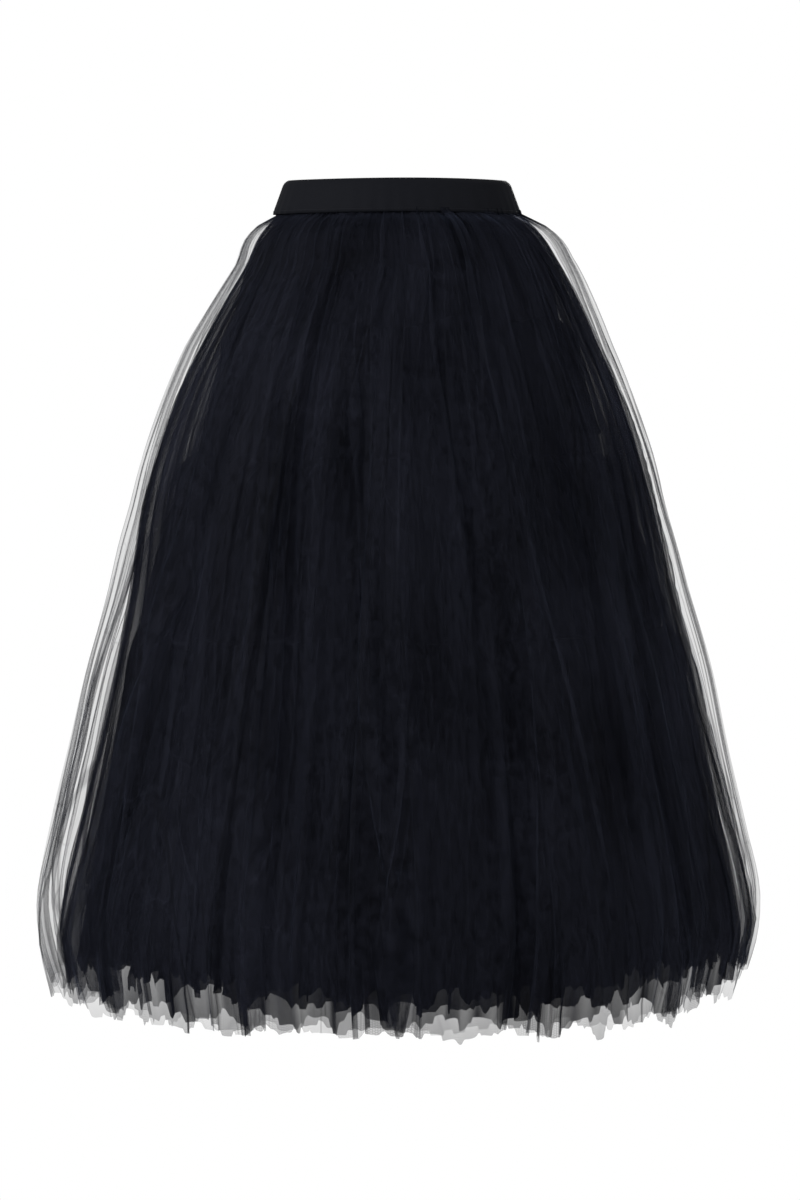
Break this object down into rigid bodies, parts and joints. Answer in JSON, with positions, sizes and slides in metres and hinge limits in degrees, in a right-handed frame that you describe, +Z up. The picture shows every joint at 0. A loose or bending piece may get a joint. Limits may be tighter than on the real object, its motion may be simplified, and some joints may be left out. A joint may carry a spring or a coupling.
{
  "type": "tulle skirt",
  "caption": "Full midi skirt of gathered black tulle over a tiered net petticoat, on a wide elastic waistband, filled out as when worn.",
  "frame": {"origin": "middle of the waist opening, level with the top edge of the elastic band, where the wearer holds the skirt up", "axes": "+Z up, away from the hem; the front of the skirt faces -Y; +X to the right of a viewer in front"},
  "size_m": [0.6937, 0.6122, 0.7459],
  "materials": {
    "elastic": "woven elastic, matt black, fine cross ribs",
    "tulle": "soft fine tulle, blue-black, see-through in one layer",
    "net": "stiff net, matt black",
    "yoke_cloth": "plain opaque black cloth, matt"
  },
  "bodies": {
    "root": {"waistband": "elastic", "outer_overlay_front": "tulle", "outer_overlay_back": "tulle", "under_overlay_front": "tulle", "under_overlay_back": "tulle", "petticoat_yoke": "yoke_cloth", "petticoat_top_tier": "net", "petticoat_middle_tier": "net", "petticoat_bottom_tier": "net"}
  },
  "joints": []
}
